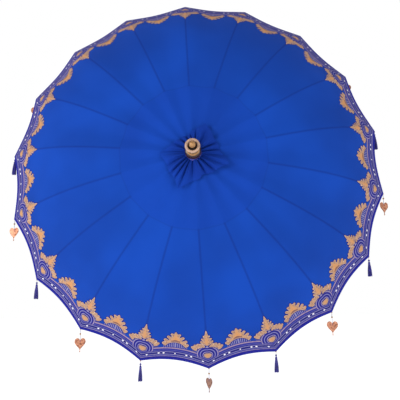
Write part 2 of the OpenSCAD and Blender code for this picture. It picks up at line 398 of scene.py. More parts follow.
@dataclass(frozen=True)
class DyedCotton:
    """Dyed cotton poplin, closely woven: an even royal blue with a soft sheen and almost no gloss."""

    side: Side
    blue: str = "0C42A8"
    shade: str = "0A3A97"
    thread: float = 1.1  # millimetres between threads, drawn twice as coarse as the cloth's
    disc_r: float = 315.0  # reach of the doubled disc round the crown
    dots: tuple = ((24.0, 44.0), (74.0, 50.0), (95.0, 50.0), (146.0, 50.0))  # from the rib, from the hem

    def build(self) -> bpy.types.Material:
        """Makes the material: clouds of shade, slubs and a weave of two crossed sines on the cloth's UV."""
        recipe = Recipe(self.side.value, roughness=0.82, specular_ior_level=0.12, sheen_weight=0.05,
                        sheen_roughness=0.5, sheen_tint=linear("3A62E0"))
        uv = recipe.add("UVMap", {}, uv_map="cloth")
        turns = recipe.add("VectorMath", {0: uv, "Scale": 2 * math.pi / (self.thread * MM)},
                           operation="SCALE")
        waves = recipe.add("VectorMath", {0: turns}, operation="SINE")
        warp, weft, _ = recipe.add("SeparateXYZ", {0: waves}).node.outputs
        slub = recipe.grain(420.0, base=uv)
        clouds = recipe.mask(recipe.grain(3.2, detail=2.0), 0.3, 0.72)
        color = recipe.layered(linear(self.shade), [
            (clouds, linear(self.blue)), (recipe.mask(slub, 0.35, 0.75, 0.10), linear("1A4CB4"))])
        if self.side is Side.PRINTED:
            color = self.seams_and_shade(recipe, color)
            outer = recipe.add("Attribute", {}, "Fac", attribute_name="face")
            color = recipe.layered(color, [(outer, self.border(recipe, color))])
        weave = recipe.add("Math", {0: warp, 1: weft}, operation="MULTIPLY")
        threads = recipe.add("Math", {0: weave, 1: 0.2, 2: 0.2}, operation="MULTIPLY_ADD")
        height = recipe.add("Math", {0: slub, 1: 0.6, 2: threads}, operation="MULTIPLY_ADD")
        return recipe.finish(color, height=height, depth=0.0004)

    def seams_and_shade(self, recipe: Recipe, cloth: object) -> bpy.types.NodeSocket:
        """Draws the dark seam over each rib, widened into painted shade along its crease, and the edge of
        the doubled disc round the crown.
        """
        across, reach = (recipe.add("Attribute", {}, "Fac", attribute_name=label)
                         for label in ("across", "reach"))
        near, far = self.disc_r - 9, self.disc_r + 3
        outside = recipe.mask(reach, near, far)
        # Dark mask fading out 7 mm from the rib: a stitched seam line plus painted shade along the crease.
        seam_and_shade = recipe.add("Math", {0: recipe.mask(across, 7.0, 1.0, 0.42), 1: outside}, operation="MULTIPLY")
        beyond = recipe.add("Math", {0: reach, 1: self.disc_r}, operation="SUBTRACT")
        from_edge = recipe.add("Math", {0: beyond}, operation="ABSOLUTE")
        return recipe.layered(cloth, [
            (recipe.mask(reach, far, near, 0.16), linear("0A2C96")), (seam_and_shade, linear("08216F")),
            (recipe.mask(from_edge, 5.0, 1.0, 0.25), linear("0A2678"))])

    def border(self, recipe: Recipe, cloth: object) -> bpy.types.NodeSocket:
        """Paints the border: hem, bands, arches, rays, leaves, creases and dots, lowest first."""
        hem, across, gold, crease, oval, fan, ray = (
            recipe.add("Attribute", {}, "Fac", attribute_name=label)
            for label in ("hem", "across", "gold", "crease", "oval", "fan", "ray"))
        mauve, pale, navy, white = "6466A8", "A29CBE", linear("10146A"), linear("F2EEF6")
        bands = recipe.stripes(hem, [
            (0, "142090"), (6, "12188A"), (24, "12157C"), (27, "A08C98"), (30, mauve), (33, "2A2C84"),
            (38, "23257E"), (41, pale), (44, "16186E"), (56, "16186E"), (59, pale), (62, "1C1E7C"),
            (68, "191B78"), (71, mauve), (74, "2A2C84"), (82, "2E3088"), (85, "9A86A4"), (88, "B8988E"),
            (91, "5C5490"), (94, "1A1E84")], 100.0)
        mottled = recipe.mask(recipe.grain(90.0, detail=2.0), 0.45, 0.7, 0.35)
        bands = recipe.layered(bands, [(mottled, linear("2A2C86"))])
        arches = recipe.stripes(oval, [
            (0, "14166A"), (19, "14166A"), (21, "B8A8C0"), (23, "24268A"), (30, "14166A"), (33, "8C88BE"),
            (36, "1A1C7C"), (42, "1A1C7C"), (45, "B09EB4"), (48, "1C1E80")], 60.0)
        wave = recipe.add("Math", {0: ray}, operation="SINE")
        rays = recipe.layered(linear("15187A"), [(recipe.mask(wave, -0.3, 0.6), linear("8684AE"))])
        mottle = recipe.add("Math", {0: recipe.grain(160.0, detail=2.0), 1: 7.0}, operation="MULTIPLY")
        deep = recipe.add("Math", {0: mottle, 1: gold}, operation="SUBTRACT")
        leaves = recipe.stripes(deep, [
            (0, "DECAB8"), (4.0, "D2B294"), (6.5, "98705A"), (9, "BE9474"), (14, "C28E62"),
            (22, "CC925E"), (30, "B4784E")], 32.0)
        between = recipe.add("Math", {0: recipe.mask(crease, 3.2, 1.2, 0.75),
                                      1: recipe.mask(gold, -1.5, -8.0)}, operation="MULTIPLY")
        place = recipe.add("CombineXYZ", {0: across, 1: hem, 2: 0.0})
        near = [recipe.add("VectorMath", {0: place, 1: (*dot, 0.0)}, "Value", operation="DISTANCE")
                for dot in self.dots]
        dot = near[0]
        for other in near[1:]:
            dot = recipe.add("Math", {0: dot, 1: other}, operation="MINIMUM")
        return recipe.layered(cloth, [
            (recipe.mask(hem, 97.0, 92.0), bands), (recipe.mask(oval, 50.0, 47.0), arches),
            (recipe.mask(fan, 2.0, 0.0), rays), (recipe.mask(gold, 4.6, 2.2), navy),
            (recipe.mask(gold, 0.8, -0.8), leaves), (between, linear("5A3A4A")),
            (recipe.mask(dot, 8.0, 6.5), navy), (recipe.mask(dot, 5.2, 4.0), white)])


@dataclass(frozen=True)
class StickWood:
    """A split or turned hardwood, planed and oiled: long fibres, fine dark pores and a low gloss."""

    name: str
    light: str
    dark: str
    gloss: float = 0.5
    fibre: float = 1.4  # millimetres across one fibre
    coat: float = 0.0

    def build(self) -> bpy.types.Material:
        """Makes the material, whose fibres run along y, with rings nine fibres wide."""
        recipe = Recipe(self.name, specular_ior_level=0.4, coat_weight=self.coat, coat_roughness=0.25)
        along = (1.0, 0.05, 1.0)
        fibres = recipe.grain(1 / (self.fibre * MM), along, 4.0)
        rings = recipe.grain(1 / (9 * self.fibre * MM), along, 2.0)
        tone = recipe.add("Mix", {0: 0.45, 2: fibres, 3: rings})
        color = recipe.layered(linear(self.dark), [
            (recipe.mask(tone, 0.34, 0.66), linear(self.light)),
            (recipe.mask(fibres, 0.40, 0.30, 0.5), linear("2A160A"))])
        return recipe.finish(color, (fibres, 0.25, self.gloss - 0.12), tone, 0.0003)


@dataclass(frozen=True)
class RadialWood:
    """Split bamboo or hardwood whose fibres follow each stick outwards from the pole."""

    name: str
    light: str
    dark: str

    def build(self) -> bpy.types.Material:
        """Makes the material: noise on the distance out, the turn round the pole and the height.

        Fibres are 70 mm long and, half-way along a rib, about 1.5 mm wide.
        """
        recipe = Recipe(self.name, specular_ior_level=0.35)
        place = recipe.add("TexCoord", {}, "Object")
        x, y, z = recipe.add("SeparateXYZ", {0: place}).node.outputs
        flat = recipe.add("VectorMath", {0: place, 1: (1, 0, 1)}, operation="MULTIPLY")
        out = recipe.add("VectorMath", {0: flat}, "Value", operation="LENGTH")
        turn = recipe.add("Math", {0: x, 1: z}, operation="ARCTAN2")
        along = recipe.add("CombineXYZ", {0: out, 1: turn, 2: y})
        fibres = recipe.grain(1.0, (14.0, 292.5, 60.0), 4.0, along)
        color = recipe.layered(linear(self.dark), [(recipe.mask(fibres, 0.32, 0.68), linear(self.light))])
        return recipe.finish(color, (fibres, 0.2, 0.42), fibres, 0.0003)


@dataclass(frozen=True)
class PaintedWood:
    """Turned wood under hand-brushed enamel: an even colour with brush streaks and rubbed high spots."""

    name: str
    paint: str
    worn: str
    gloss: float = 0.38
    metal: float = 0.0

    def build(self) -> bpy.types.Material:
        """Makes the material, with streaks round the axis 2 mm apart."""
        recipe = Recipe(self.name, metallic=self.metal, specular_ior_level=0.5)
        streaks = recipe.grain(120.0, (1.0, 4.0, 1.0), 4.0)
        spots = recipe.grain(240.0)
        color = recipe.layered(linear(self.paint), [
            (recipe.mask(streaks, 0.48, 0.62, 0.5), linear(self.worn)),
            (recipe.mask(spots, 0.60, 0.70, 0.6), linear(self.worn))])
        return recipe.finish(color, (spots, 0.3, self.gloss - 0.15), streaks, 0.0004)


@dataclass(frozen=True)
class SilkThread:
    """Twisted rayon thread: deep navy with a silky sheen along its twist."""

    name: str = "rayon_thread"
    color: str = "1C1466"
    light: str = "3A34A8"

    def build(self) -> bpy.types.Material:
        """Makes the material, with a twist every 2 mm."""
        recipe = Recipe(self.name, roughness=0.45, sheen_weight=0.35, sheen_roughness=0.35,
                        sheen_tint=linear("7A78E0"))
        strands = recipe.grain(500.0, (1.0, 1.0, 0.25), 2.0)
        color = recipe.layered(linear(self.color), [(recipe.mask(strands, 0.4, 0.7), linear(self.light))])
        return recipe.finish(color, height=strands, depth=0.0004)


@dataclass(frozen=True)
class StampedCopper:
    """Thin stamped copper under a matt lacquer: peach highlights with browner hollows."""

    name: str = "lacquered_copper"
    bright: str = "D09070"
    dull: str = "8E5640"

    def build(self) -> bpy.types.Material:
        """Makes the material, with tarnish in patches about 8 mm wide."""
        recipe = Recipe(self.name, metallic=0.55)
        tarnish = recipe.grain(120.0, detail=4.0)
        color = recipe.layered(linear(self.dull), [(recipe.mask(tarnish, 0.35, 0.6), linear(self.bright))])
        return recipe.finish(color, (tarnish, 0.25, 0.32), recipe.grain(900.0, detail=2.0), 0.0002)


@dataclass(frozen=True)
class BrushedSteel:
    """Sheared and brushed spring steel: grey, with fine scratches along the strip."""

    name: str = "brushed_spring_steel"
    grey: str = "B4B6B8"

    def build(self) -> bpy.types.Material:
        """Makes the material, with scratches 0.3 mm apart along y."""
        recipe = Recipe(self.name, metallic=1.0, base_color=linear(self.grey))
        scratches = recipe.grain(3000.0, (1.0, 0.03, 1.0), 2.0)
        return recipe.finish(rough=(scratches, 0.25, 0.2), height=scratches, depth=0.00005)


@dataclass(frozen=True)
class MattPaper:
    """Seamless studio paper: white with no gloss."""

    name: str = "studio_paper"
    white: str = "FBFBFB"

    def build(self) -> bpy.types.Material:
        """Makes the material, with a faint tooth."""
        recipe = Recipe(self.name, roughness=0.95, specular_ior_level=0.1, emission_color=linear(self.white),
                        emission_strength=0.6)
        tooth = recipe.grain(400.0, detail=2.0)
        faint = recipe.add("Math", {0: tooth, 1: 0.04}, operation="MULTIPLY")
        color = recipe.layered(linear(self.white), [(faint, linear("E8E8EA"))])
        return recipe.finish(color, height=tooth, depth=0.0002)


# ---------------------------------------------------------------- the dome and its cloth


@dataclass
class Dome:
    """The surface that the cloth is stretched over, as heights above the pole's foot."""

    radius: float = 900.0
    rim: float = 1900.0
    cone: float = 81.0
    round_rise: float = 288.0
    hem_cut: float = 24.0  # how far the hem is cut in between two ribs
    belly: float = 13.0  # how far the cloth dips between two ribs

    def __post_init__(self) -> None:
        """Tabulates the length of a rib's curve from the pole outwards."""
        self.stations = np.linspace(0, self.radius + 5, 1200)
        steps = np.hypot(np.diff(self.stations), np.diff(self.height(self.stations)))
        self.lengths = np.concatenate([[0], np.cumsum(steps)])

    def height(self, reach: np.ndarray) -> np.ndarray:
        """Gives the height: rim + cone (1 - s) + round_rise (1 - s to the fourth), s = reach / radius."""
        share = reach / self.radius
        return self.rim + self.cone * (1 - share) + self.round_rise * (1 - share**4)

    def arc(self, reach: np.ndarray) -> np.ndarray:
        """Gives the length along the curve from the pole to a reach."""
        return np.interp(reach, self.stations, self.lengths)

    def hem(self, aside: np.ndarray) -> np.ndarray:
        """Gives the hem's reach at an angle from the nearest rib: a shallow parabola between ribs."""
        share = np.abs(aside) / BAY
        return self.radius - self.hem_cut * 4 * share * (1 - share)

    def chord(self, aside: np.ndarray) -> np.ndarray:
        """Gives how far a straight weft thread between two ribs cuts inside their circle."""
        half = math.radians(BAY / 2)
        return math.cos(half) / np.cos(np.radians(np.abs(aside)) - half)

    def place(self, reach: np.ndarray, aside: np.ndarray, rib: float, lift: float = 0.0) -> np.ndarray:
        """Places cloth over the dome.

        The radius is reach times the chord, the height is the dome's less a belly that is full half-way
        between ribs, plus a gentle ripple made of two products of sines.

        Args:
            reach: Distance from the pole before the chord is taken.
            aside: Degrees from the rib.
            rib: The rib's own angle in degrees, clockwise from the top.
            lift: Height added.

        Returns:
            Standing points in millimetres.
        """
        radius = reach * self.chord(aside)
        turn = np.radians(rib + aside)
        x, y = radius * np.sin(turn), radius * np.cos(turn)
        share = np.abs(aside) / (BAY / 2)
        bay = 0.3 * (1 - (1 - share) ** 2) + 0.7 * smooth(share, 0, 1)
        dip = self.belly * bay * (reach / self.radius) ** 0.6 * (1 - 0.35 * smooth(reach, 780, 900))
        ripple = 0.7 * np.sin(x / 61 + y / 140) * np.sin(y / 53 - x / 170)
        ripple = (ripple + 0.5 * np.sin((x + 2 * y) / 97)) * bay * smooth(reach, 60, 300)
        return np.stack([x, y, self.height(reach) - dip + ripple + lift], axis=-1)

    def normals(self, reach: np.ndarray, aside: np.ndarray, rib: float) -> np.ndarray:
        """Gives unit normals in the frame, from small steps aside and outwards."""
        across = self.place(reach, aside + 0.1, rib) - self.place(reach, aside - 0.1, rib)
        out = self.place(reach + 1, aside, rib) - self.place(reach - 1, aside, rib)
        return upright(across, out)


@dataclass(frozen=True)
class Motifs:
    """The painted shapes of the border, as signed distances in millimetres that are negative inside."""

    disc_at: float = 102.0  # the gold disc's distance from a corner, along the rib
    disc_r: float = 17.0
    oval: float = 1.25  # how much longer than wide the arches are
    ray_from: float = 47.0
    ray_to: float = 69.0
    ray_gap: float = 8.0
    fan_turn: float = 1.25  # how far the fan of rays opens to each side of a rib, in radians
    comb: tuple = (96.0, 130.0, 52.0)  # the comb of rays between ribs: from and to the hem, half width
    foot: float = 84.0  # how near to a corner the arches come before they fade

    def leaf(self, u: np.ndarray, v: np.ndarray, a: tuple, b: tuple, ra: float, rb: float) -> np.ndarray:
        """Gives the distance to a tapered capsule, which is a leaf's lobe.

        Args:
            u: Distance aside.
            v: Distance in from the edge.
            a: One end (u, v).
            b: The other end.
            ra: Radius at a.
            rb: Radius at b.
        """
        du, dv = b[0] - a[0], b[1] - a[1]
        share = np.clip(((u - a[0]) * du + (v - a[1]) * dv) / (du * du + dv * dv), 0, 1)
        return np.hypot(u - a[0] - share * du, v - a[1] - share * dv) - (ra + share * (rb - ra))

    def spire(self, u: np.ndarray, v: np.ndarray) -> list[np.ndarray]:
        """Gives the lobes of the spire over a rib and its wings, for a distance aside of 0 or more."""
        parts = [self.leaf(u, v, (0, 186), (0, 255), 17, 1.0)]
        for side, at, size in ((23, 188, 6.5), (19, 205, 5.5), (12.5, 222, 4.5)):
            parts.append(self.leaf(u, v, (side * 0.3, at - 8), (side, at), size + 2, size - 1))
        for side, at, size in ((25, 172, 6.5), (38, 168, 7), (51, 160, 7.5), (62, 147, 8.5)):
            parts.append(self.leaf(u, v, (side - 9, at - 11), (side, at), size, size - 0.5))
        return parts

    def mound(self, u: np.ndarray, v: np.ndarray) -> list[np.ndarray]:
        """Gives the lobes of the mound between two ribs, hollowed at its foot."""
        parts = [self.leaf(u, v, (0, 142), (0, 188), 27, 1.5), self.leaf(u, v, (0, 134), (34, 124), 21, 9)]
        for side, at, size in ((16, 173, 6), (31, 159, 6.5), (44, 142, 7), (51, 122, 7.5)):
            parts.append(self.leaf(u, v, (side - 9, at - 11), (side + 1, at + 1), size + 1, size - 0.5))
        hollow = np.hypot(u / 1.35, v - 92) - 34
        return [np.maximum(part, -hollow) for part in parts]

    def fields(self, across: np.ndarray, along: np.ndarray, mid: np.ndarray,
               hem: np.ndarray) -> dict[str, np.ndarray]:
        """Gives every distance that the border's finish reads.

        Args:
            across: Distance from the rib, 0 or more.
            along: Distance in from the corner.
            mid: Distance from the line half-way between ribs.
            hem: Distance in from the hem.

        Returns:
            Fields by name.
        """
        disc = np.hypot(across, along - self.disc_at) - self.disc_r
        lobes = np.stack([disc, *self.spire(across, along), *self.mound(mid, hem)])
        nearest = np.partition(lobes, 1, axis=0)[:2]
        oval = np.hypot(across, (along - self.disc_at) / self.oval)
        turn = np.arctan2(across, along - self.disc_at)
        near, far, half = self.comb
        fan = np.maximum.reduce([self.ray_from - oval, oval - self.ray_to, (turn - self.fan_turn) * oval])
        comb = np.maximum.reduce([near - hem, hem - far, mid - half])
        middle = (self.ray_from + self.ray_to) / 2
        ray = 2 * np.pi / self.ray_gap * np.where(fan < comb, turn * middle, mid)
        return {"gold": nearest[0], "crease": nearest[1] - nearest[0], "ray": ray,
                "oval": oval + 40 * smooth(along, self.foot, self.foot - 8),
                "fan": np.minimum(fan, comb)}


@dataclass
class Canopy:
    """Eighteen gores of printed cotton in bands, each band over a rib, so that they fold with the ribs."""

    dome: Dome
    motifs: Motifs = field(default_factory=Motifs)
    bands: tuple = (50.0, 130.0, 230.0, 340.0, 460.0, 580.0, 690.0, 790.0, 850.0, 900.0)
    cells: tuple = (16, 16, 20, 24, 32, 40, 64, 64, 64)  # cells across a band over one rib
    rows: tuple = (6, 6, 6, 7, 7, 8, 26, 15, 14)
    thick: float = 1.2
    under: float = 0.3  # how far the outer face sits below the dome

    def keep(self, reach: float, hinge: Vector) -> float:
        """Gives how narrow a band gets as its rib folds: its folded radius over its open one."""
        open_r = math.hypot(hinge.x, hinge.z) / MM
        drop = -hinge.y / MM - float(self.dome.height(np.array(reach)))
        lean = math.atan2(drop, reach - open_r)
        limit = math.radians(JOINTS["canopy_fold"]["range_deg"][1])
        folded = open_r + math.hypot(reach - open_r, drop) * math.cos(lean + limit)
        return max(0.12, min(1.0, folded / reach))

    def band(self, number: int, rib: float) -> Shell:
        """Works out one band over one rib.

        Rows run outwards from the band's inner reach to its outer one, which in the last band is the
        hem, and columns run from half a bay before the rib to half a bay after it.

        Args:
            number: The band, from the crown outwards.
            rib: The rib's angle in degrees.
        """
        inner, outer = self.bands[number], self.bands[number + 1]
        side = np.linspace(-BAY / 2, BAY / 2, self.cells[number] + 1)
        share, aside = np.meshgrid(np.linspace(0, 1, self.rows[number] + 1), side, indexing="ij")
        last = number == len(self.cells) - 1
        edge = self.dome.hem(aside) if last else outer + 0 * aside
        reach = inner + (edge - inner) * share
        hem = self.dome.arc(self.dome.hem(aside)) - self.dome.arc(reach)
        fold = 0.7 * (1 - smooth(hem, 9, 12))
        points = self.dome.place(reach, aside, rib, -self.under) + fold[..., None] * [0, 0, 1]
        normal = self.dome.normals(reach, aside, rib)
        below = points - (self.thick + 2 * fold[..., None]) * [0, 0, 1]
        shell = walled(lie_down(points), lie_down(below))
        flat = normal.reshape(-1, 3)
        shell.normals = np.concatenate([flat, -flat])
        wide = reach * self.dome.chord(aside)
        across = np.abs(wide * np.sin(np.radians(aside)))
        mid = np.abs(wide * np.sin(np.radians(BAY / 2 - np.abs(aside))))
        along = self.dome.arc(self.dome.radius + 0 * reach) - self.dome.arc(reach)
        fields = {"hem": hem, "across": across, "reach": reach}
        fields |= self.motifs.fields(across, along, mid, hem)
        shell.fields = {label: np.tile(values.ravel(), 2) for label, values in fields.items()}
        shell.fields["face"] = np.repeat([1.0, 0.0], len(flat))
        uv = np.stack([wide * np.sin(np.radians(aside)), self.dome.arc(reach)], axis=-1) * MM
        shell.uv = np.tile(uv.reshape(-1, 2), (2, 1))
        return shell

    def build(self, cloth: bpy.types.Material) -> None:
        for rib in range(RIBS):
            joint, hinge, angle = rib_joint(rib)
            for number in range(len(self.cells)):
                inner, outer = self.bands[number], self.bands[number + 1]
                shell = self.band(number, angle)
                piece = make_piece(f"gore_{rib + 1:02d}_{number + 1}", shell, [cloth])
                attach(piece, joint["child"])
                keep = self.keep(inner * 1.15 if number == 0 else (inner + outer) / 2, hinge)
                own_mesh(piece)
                wide = 2 * outer * math.sin(math.radians(BAY / 2)) * MM
                narrow = wide * inner / outer
                length = float(self.dome.arc(np.array(outer)) - self.dome.arc(np.array(inner))) * MM
                cut = (wide + narrow) / 2 * length
                if number == len(self.cells) - 1:
                    cut -= wide * self.dome.hem_cut * MM * 2 / 3
                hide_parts("canopy")
        log.info("canopy: %d bands over %d ribs", len(self.cells), RIBS)

    def crown(self, cloth: bpy.types.Material) -> None:
        """Builds the patch round the finial's foot, which stays with the pole."""
        near, far = 19.0, 58.0
        reach, turn = np.meshgrid(np.linspace(near, far, 9), np.linspace(0, 2 * np.pi, 97), indexing="ij")
        points = np.stack([reach * np.sin(turn), reach * np.cos(turn),
                           self.dome.height(reach) + 0.6], axis=-1)
        top, low = points[:, :-1], points[:, :-1] - [0, 0, self.thick]
        rows, columns = top.shape[:2]
        count = rows * columns
        face = grid_faces(rows, columns, True)
        loop = np.arange(columns)
        after = (loop + 1) % columns
        last = count - columns
        inside = np.stack([after, loop, loop + count, after + count], axis=1)
        outside = np.stack([loop + last, after + last, after + last + count, loop + last + count], axis=1)
        shell = Shell(lie_down(np.concatenate([top.reshape(-1, 3), low.reshape(-1, 3)])),
                      [face, face[:, ::-1] + count, inside, outside])
        shell.uv = shell.points[:, [0, 2]]
        piece = make_piece("crown_patch", shell, [cloth])
        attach(piece, "root")
        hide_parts("canopy")
        log.info("crown patch")


@dataclass
class CoverCloth:
    """A square of the same cotton, gathered and tied round the finial's foot, so that it lies in pleats; its
    blue is painted darker, as shade for the pleats.
    """

    dome: Dome
    corners: tuple = ((22.0, 144.0), (108.0, 158.0), (203.0, 163.0), (273.0, 142.0))  # degrees and reach
    reach: float = 158.0
    tied: float = 31.0
    thick: float = 1.2
    rows: int = 30
    cells: int = 36

    def edge(self, turn: np.ndarray) -> np.ndarray:
        """Gives the square's edge: the straight line from one corner to the next, with small waves.

        Between corners at angles a and b and reaches p and q, the line's radius is p q sin (b - a) over
        p sin (turn - a) + q sin (b - turn).

        Args:
            turn: Angles in degrees.
        """
        turn = turn % 360
        result = np.zeros_like(turn)
        first = self.corners[0]
        for (start, near), (end, far) in zip(self.corners, (*self.corners[1:], (first[0] + 360, first[1]))):
            since = (turn - start) % 360
            span = math.radians(end - start)
            run = np.radians(since)
            under = near * np.sin(run) + far * np.sin(span - run)
            line = near * far * math.sin(span) / np.where(since <= end - start, under, 1)
            result = np.where(since <= end - start, line, result)
        pulled = 1 - 0.06 * np.exp(-(((turn - 156) / 7) ** 2))
        return result * pulled * (0.98 + 0.02 * np.sin(np.radians(turn * 11 + 40)))

    def lift(self, share: np.ndarray, turn: np.ndarray) -> np.ndarray:
        """Gives the cloth's height over the dome.

        Pleats are a power of the size of a sine, which makes round ridges and sharp valleys. Their number
        wanders round the pole, they are deepest half-way out, and the edge curls up between them.

        Args:
            share: 0 at the tie to 1 at the edge.
            turn: Angles in degrees.
        """
        a = np.radians(turn)
        wander = a + 0.13 * np.sin(3 * a + 1) + 0.05 * np.sin(5 * a) + 0.05 * share
        pleat = np.abs(np.sin(9 * wander + 0.4)) ** 0.75 * (0.75 + 0.25 * np.sin(4 * a - 2.2))
        small = np.abs(np.sin(17 * wander + 1.0)) * 0.3 * (1 - share)
        strength = np.sin(np.pi * np.clip(share * 0.80 + 0.14, 0, 1)) ** 0.7
        curl = 0.5 + 0.5 * np.sin(4 * a - 0.4) + 0.25 * np.sin(7 * a + 1.2)
        return 1.4 + 20.0 * (pleat + small) * strength + 13.0 * curl * share**2 + 3.5 * (1 - share) ** 3

    def place(self, share: np.ndarray, turn: np.ndarray) -> np.ndarray:
        """Gives standing points from the tie to the edge, at the dome's height plus the lift."""
        radius = self.tied + (self.edge(turn) - self.tied) * share
        a = np.radians(turn)
        z = self.dome.height(radius) + self.lift(share, turn)
        return np.stack([radius * np.sin(a), radius * np.cos(a), z], axis=-1)

    def build(self, cloth: bpy.types.Material) -> None:
        """Builds a wedge of the square over each rib, so that it closes with the parasol."""
        for rib in range(RIBS):
            joint, hinge, angle = rib_joint(rib)
            share, turn = np.meshgrid(np.linspace(0, 1, self.rows + 1),
                                      np.linspace(angle - BAY / 2, angle + BAY / 2, self.cells + 1),
                                      indexing="ij")
            points = self.place(share, turn)
            step = self.place(share, turn + 0.1) - self.place(share, turn - 0.1)
            out = self.place(share + 0.01, turn) - self.place(share - 0.01, turn)
            shell = walled(lie_down(points), lie_down(points - [0, 0, self.thick]))
            flat = upright(step, out).reshape(-1, 3)
            shell.normals = np.concatenate([flat, -flat])
            shell.uv = np.tile((lie_down(points)[..., [0, 2]]).reshape(-1, 2), (2, 1))
            piece = make_piece(f"cover_cloth_{rib + 1:02d}", shell, [cloth])
            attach(piece, joint["child"])
            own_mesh(piece)
            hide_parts("canopy")
        log.info("cover cloth: %d wedges", RIBS)


# ---------------------------------------------------------------- turned, hung and wrapped pieces


@dataclass
class Finial:
    """The turned tip: a dark body with a gold collar, a cream rim round a hollow painted near black as
    shade, and a ball in it.
    """

    base: float = 0.0
    sides: int = 96

    def stretches(self) -> list[tuple[int, list]]:
        """Gives the painted stretches of the profile, from the tied foot to the ball in the hollow.

        Returns:
            Pairs of a paint's number and the stretch's radii and heights over the cloth.
        """
        swell = np.radians(np.arange(-50, 51, 5))
        ball = np.radians(np.arange(-48, 82, 4))
        body = np.stack([22 + 12 * np.cos(swell), 30 + 22 * np.sin(swell)], axis=1)
        top = np.stack([13.4 * np.cos(ball), 118.4 + 14 * np.sin(ball)], axis=1)
        return [
            (0, [[15, 0.2], [33, 0.2], [34, 3], [33.6, 5.4], [32, 7], [27, 9], [27, 12]]),
            (1, [*body, [24, 49.5]]),
            (2, [[24, 49], [26, 50.2], [27, 52], [26, 54], [24, 55.5], [22.4, 62], [24, 70]]),
            (3, [[24, 70], [25, 72], [24, 73.4], [22.2, 74.5], [22.8, 80], [25, 86.5], [28, 95.5]]),
            (4, [[28, 95.5], [30, 98], [30.6, 100.5], [30, 103], [28, 105], [24.5, 106], [21.5, 105.6],
                 [20, 104.4]]),
            # Paint 5, near black, is painted shade down in the hollow round the ball.
            (5, [[20, 104.4], [18.6, 99], [14, 94.6], [8.6, 94], [7.6, 101], [8.6, 107.6]]),
            (2, [*top, [2.4, 135], [0.5, 139]])]

    def build(self, finishes: list[bpy.types.Material]) -> None:
        """Builds the finial as one turned shape whose paint changes along its profile."""
        paints, lines = zip(*self.stretches())
        points = np.concatenate(lines)
        owner = np.repeat(paints, [len(line) for line in lines])
        same = np.concatenate([[True], np.linalg.norm(np.diff(points, axis=0), axis=1) > 1e-6])
        points, owner = points[same], owner[same]
        shell = turned(points, self.sides)
        shell.finishes = [np.repeat(owner[:-1], self.sides), np.repeat([owner[0], owner[-1]], self.sides)]
        shell.points[:, 2] += self.base
        shell.points = lie_down(shell.points)
        piece = make_piece("turned_finial", shell, finishes, 30.0)
        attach(piece, "root")
        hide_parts("finial")
        log.info("finial")


